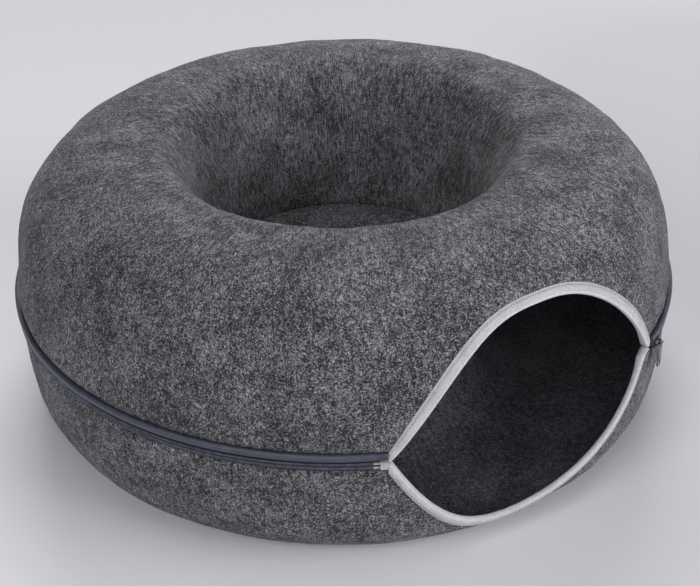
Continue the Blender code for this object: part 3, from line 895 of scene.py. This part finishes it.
def seam_frame(half, azimuth, arc, lift):
    """Middle points, headings and outward normals of a seam that lies on the felt."""
    points = half.place(azimuth, arc, lift)
    heading = np.gradient(points, axis=0)
    normal = half.place(azimuth, arc, lift + 0.001) - points
    return points, *(v / np.linalg.norm(v, axis=1)[:, None] for v in (heading, normal))


# %% The seams of the binding
tape_stitch = (0.0014, 0.00055)
tape_stitch_pitch = 0.0034
tape_seam_lift = tape_gap + tape_body + 0.0002


def tape_seam(half, angles, reach, cut, length):
    """Stitches at even steps along the binding, in the groove near its outer edge."""
    count = int(length[-1] / tape_stitch_pitch)
    at = ((np.arange(count) + 0.5) * length[-1] / count)[2:-2]
    azimuth = np.interp(at, length, angles)
    arc = np.interp(at, length, reach - seam_inset_share * (reach - cut))
    stitches("binding_seam_" + half.name, seam_frame(half, azimuth, arc, tape_seam_lift),
             *tape_stitch, thread_painted_shade, half.body, "binding_tape")


for half, run in tape_runs.items():
    tape_seam(half, *run)

# %% The seam round the bowl's floor
floor_stitch = (0.0042, 0.0010)
floor_stitch_count = 150
floor_seam_inset, floor_seam_lift = 0.0008, 0.0004

floor_turns = np.linspace(0, math.tau, floor_stitch_count, endpoint=False)
floor_seam = (round_axis(floor_turns, bowl_radius - floor_seam_inset,
                         bowl_floor_height + floor_seam_lift),
              stacked(np.cos(floor_turns), np.sin(floor_turns), 0), stacked(0 * floor_turns, 0, 1))
stitches("bowl_floor_seam", floor_seam, *floor_stitch, seam_thread, "upper_half", "felt")

# %% [markdown]
# ## The zip's cloth: welt and tapes
#
# Above the zip's teeth a strip of navy cloth is rolled into a soft welt, which hides the
# upper seam.  Its section is a half round that leans on the felt.  The two woven tapes
# that carry the teeth turn in over the felt's edges, and only their fronts show.  Behind
# the coils they all but meet, so that no light gets through into the tunnel.  The strips
# are pulled tight, so a section carried round the zip does for them what a cloth
# simulation would.

# %% Welt and tapes
strip_steps = 700
welt_waves = (0.00010, 16, 0.020, 0.120)
welt_power = 0.62
welt_back_share, welt_seat, welt_step = 0.6, 0.0004, 0.0008
cloth_slit, cloth_bevel = 0.00005, 0.0003
cloth_front = (0.0020, 0.0040)


def zip_ends(first=0.0, last=0.0):
    """Azimuths of the zip's ends, less a length at its right and one at its left corner."""
    return (zip_start_angle + first / zip_radius,
            math.tau - zip_start_angle - last / zip_radius)


def zip_strip(name, half, outline, finish, waves=None):
    """Carry a closed loop of arcs and lifts round the zip, with slow waves in its lift."""
    arcs, lifts = outline
    azimuth = np.linspace(*zip_ends(), strip_steps)[:, None]
    wobble = soft_waves(azimuth, 0 * azimuth, *waves) if waves else 0
    grid = half.place(azimuth, arcs, lifts + wobble * (lifts > lifts.mean()))
    width = running_length(np.diff(arcs), np.diff(lifts))
    along = (azimuth[:, 0] - azimuth[0, 0]) * zip_radius
    mesh = grid_mesh(name, grid, along, np.concatenate([width, [width[-1] + 0.001]]))
    piece = show(mesh, finish, half.body)
    print(name, round(float(along[-1]), 3), "m long")
    return piece


def welt_outline():
    """A half round with a flat back that leans on the felt past the tape."""
    turn = np.linspace(0, math.pi, 17)
    arc = welt_low + welt_height * (1 - np.cos(turn)) / 2
    lift = coil_lift + welt_thickness * np.sin(turn) ** welt_power
    lean = np.where(arc > felt_setback + welt_step, seat_gap, coil_lift)
    lift = np.where(lift < coil_lift + 1e-6, lean, lift)
    back = [welt_low + welt_height * welt_back_share, felt_setback + welt_seat + welt_step,
            felt_setback + welt_seat]
    return np.concatenate([arc, back]), np.concatenate([lift, [seat_gap, seat_gap, coil_lift]])


def cloth_outline():
    """The zip tape's section: a front strip, a turn over the felt's edge, a seam inside."""
    turn = tape_reach + tape_thickness
    inner = -felt_thickness - seat_gap
    deep = tape_reach + tape_seam_depth
    front = [(arc, tape_face) for arc in (cloth_slit, *cloth_front, turn - cloth_bevel)]
    points = [(cloth_slit, seat_gap), *front, (turn, tape_face - cloth_bevel), (turn, inner),
              (deep, inner), (deep, inner - tape_thickness), (tape_reach, inner - tape_thickness),
              (tape_reach, seat_gap)]
    return np.array(points).T


welt = zip_strip("welt_roll", upper, welt_outline(), welt_cloth, welt_waves)
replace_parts(welt, "zip_welt")
for half, finish in ((upper, tape_cloth), (lower, lower_tape_cloth)):
    tape = zip_strip("zip_cloth_" + half.name, half, cloth_outline(), finish)
    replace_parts(tape, "zip_tape_" + half.name)

# %% [markdown]
# ## The zip's coils
#
# A coil zip has no separate teeth: a nylon thread is wound into a flat spring along each
# tape, and the turns of one side sit between those of the other.  An Array modifier could
# repeat one turn, but the thread is a single one, so each coil is one helix whose turns
# are ellipses across the zip, with a thin round section carried along it.

# %% The coils
coil_pitch = 0.00185
thread_radius = 0.00042
coil_root = 0.00050
turn_steps, thread_edges = 9, 5
coil_start = stop_length + corner_gap + seat_gap
coil_stop = box_length + pin_length - pin_seat_depth + seat_gap


def coil(half, phase):
    """A helix: across and lift go round an ellipse while the azimuth moves on steadily."""
    low, high = zip_ends(coil_start, coil_stop)
    turns = int((high - low) * zip_radius / coil_pitch)
    step = np.arange(turns * turn_steps + 1)
    turn = ((step / turn_steps + phase) * math.tau)[:, None]
    azimuth = np.linspace(low, high, len(step))[:, None]
    ring = np.linspace(0, math.tau, thread_edges, endpoint=False)[None, :]
    half_width = (coil_outer - coil_root) / 2 - thread_radius
    half_height = coil_height / 2 - thread_radius
    thread = thread_radius * np.cos(ring)
    arc = (coil_outer + coil_root) / 2 + (half_width + thread) * np.cos(turn)
    lift = coil_lift + coil_height / 2 + (half_height + thread) * np.sin(turn)
    grid = half.place(azimuth + thread_radius * np.sin(ring) / zip_radius, arc, lift)
    across = np.linspace(0, math.tau * thread_radius, thread_edges + 1)
    mesh = grid_mesh("coil_turns_" + half.name, grid, (azimuth[:, 0] - low) * zip_radius, across)
    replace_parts(show(mesh, zip_nylon, half.body), "zip_coil_" + half.name)
    print(mesh.name, turns, "turns")


coil(upper, 0.0)
coil(lower, 0.5)

# %% The seam that holds the lower tape
zip_stitch = (0.0024, 0.00038)
zip_stitch_count = 520
zip_seam_angle, zip_seam_arc, zip_seam_lift = 0.01, 0.0046, tape_face + 0.00008

seam_azimuth = np.linspace(zip_start_angle + zip_seam_angle,
                           math.tau - zip_start_angle - zip_seam_angle, zip_stitch_count)
zip_seam = seam_frame(lower, seam_azimuth, zip_seam_arc, zip_seam_lift)
stitches("zip_seam_lower", zip_seam, *zip_stitch, stop_nylon, "lower_half", "zip_tape")

# %% [markdown]
# ## Slider, puller and zip ends
#
# The slider closes the zip, the puller hangs on its crown bar, and small nylon blocks end
# the zip at both corners.  All are cast or moulded, with crisp edges that the solids
# already have, so the solids stay and only get their finish.

# %% Finishes of the rigid pieces
rigid_finishes = {"slider_body": slider_metal, "puller": puller_metal,
                  "top_stop_upper": stop_nylon, "top_stop_lower": stop_nylon,
                  "retainer_box": pale_nylon, "insertion_pin": pale_nylon}
for node, finish in rigid_finishes.items():
    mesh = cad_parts[node].data
    mesh.materials.clear()
    mesh.materials.append(finish)
print("rigid pieces:", ", ".join(sorted(rigid_finishes)))

# %% [markdown]
# ## Floor, light and camera
#
# The bed stands on a pale floor, its tone painted with light and shade, under five large,
# soft lamps.  The strongest are low on the bed's right and high behind it, as seen from
# the camera, and weaker ones fill in from the front left, the front and above.  The camera
# looks down at thirty-one degrees from the left of the entrance, through a long lens, and
# is rolled by a degree.

# %% The floor
floor_reach, floor_drop = 30.0, 0.0002
depth_axis, side_axis = (0.5476, 0.8368, 0.0), (0.8368, -0.5476, 0.0)


def floor_painted_light_finish():
    """A matt pale floor with faint clouds, and painted light and shade: paler in front of the
    bed and to its left, as painted light over its shadow, and deeper in tone behind it and to
    its right, as painted shade.

    The tone eases from pale to deep along two level directions, each a dot product.
    """
    recipe = Recipe("pale_floor_painted_light", roughness=0.9)
    depth, side = (
        recipe.node("ShaderNodeVectorMath", {"operation": "DOT_PRODUCT"},
                    {0: recipe.place, 1: axis}, 1) for axis in (depth_axis, side_axis))
    # The pale front and left are painted light over the bed's shadow; the deeper back and right
    # are painted shade.
    right_painted_shade_share = 1.12 - depth.ease(0.3, 1.2) * 1.45
    mask = depth.ease(-0.45, 1.15) * 0.88 + side.ease(0.05, 0.55) * right_painted_shade_share
    mask = mask + (recipe.noise(0.9) - 0.5) * 0.06
    recipe.feed("Base Color", recipe.blend(mask, (0.779, 0.771, 0.811), (0.546, 0.539, 0.578)))
    return recipe.material


floor_corners = floor_reach * np.array([(-1, -1, 0), (1, -1, 0), (1, 1, 0), (-1, 1, 0)])
floor_mesh = mesh_from_arrays("studio_floor", floor_corners - (0, 0, floor_drop), np.arange(4),
                              np.array([0]))
floor_mesh.materials.append(floor_painted_light_finish())
linked(floor_mesh)
print("floor:", 2 * floor_reach, "m wide")

# %% Lights
camera_azimuth = math.radians(-33.2)
camera_right = Vector((math.cos(camera_azimuth), math.sin(camera_azimuth), 0))
camera_away = Vector((-math.sin(camera_azimuth), math.cos(camera_azimuth), 0))
lamp_size, lamp_aim = 5.8, Vector((0, 0, 0.1))
lamps = {"back": (0.0, 7.5, 5.4, 619), "right": (7.8, -2.7, 2.4, 645),
         "left": (-5.4, -6.1, 6.1, 318), "top": (0.0, 0.2, 8.8, 152),
         "front": (0.0, -8.2, 4.1, 210)}
for side, (right, back, height, power) in lamps.items():
    lamp = bpy.data.lights.new(side + "_light", "AREA")
    lamp.shape, lamp.size, lamp.energy = "SQUARE", lamp_size, power
    item = linked(lamp)
    item.location = camera_right * right + camera_away * back + Vector((0, 0, height))
    item.rotation_euler = (lamp_aim - item.location).to_track_quat("-Z", "Y").to_euler()
    print(lamp.name, power, "W at", [round(v, 2) for v in item.location])

world = bpy.data.worlds.new("studio")
scene.world = world
world.use_nodes = True
background = world.node_tree.nodes["Background"]
background.inputs["Color"].default_value = (0.97, 0.97, 1.0, 1.0)
background.inputs["Strength"].default_value = 0.02

# %% The camera
camera_elevation, camera_roll = math.radians(31.46), -0.0195
camera_distance = 1.3963
camera_aim = Vector((0, -0.00474, 0.105))
camera = bpy.data.cameras.new("studio_camera")
camera.lens, camera.sensor_width = 75.83, 36
camera.shift_x, camera.shift_y = 0.00961, -0.0393

back = Vector((math.sin(camera_azimuth) * math.cos(camera_elevation),
               -math.cos(camera_azimuth) * math.cos(camera_elevation),
               math.sin(camera_elevation)))
up = back.cross(camera_right)
turned_right = camera_right * math.cos(camera_roll) + up * math.sin(camera_roll)
turned_up = up * math.cos(camera_roll) - camera_right * math.sin(camera_roll)
axes = Matrix((turned_right, turned_up, back)).transposed().to_4x4()
item = linked(camera)
item.matrix_world = Matrix.Translation(camera_aim + back * camera_distance) @ axes
scene.camera = item
print("camera:", camera_distance, "m away, lens", round(camera.lens, 2), "mm")

# %% [markdown]
# ## Closing the lesson
#
# The colours are shown as they are written.

# %% Finish
scene.view_settings.view_transform = "Standard"
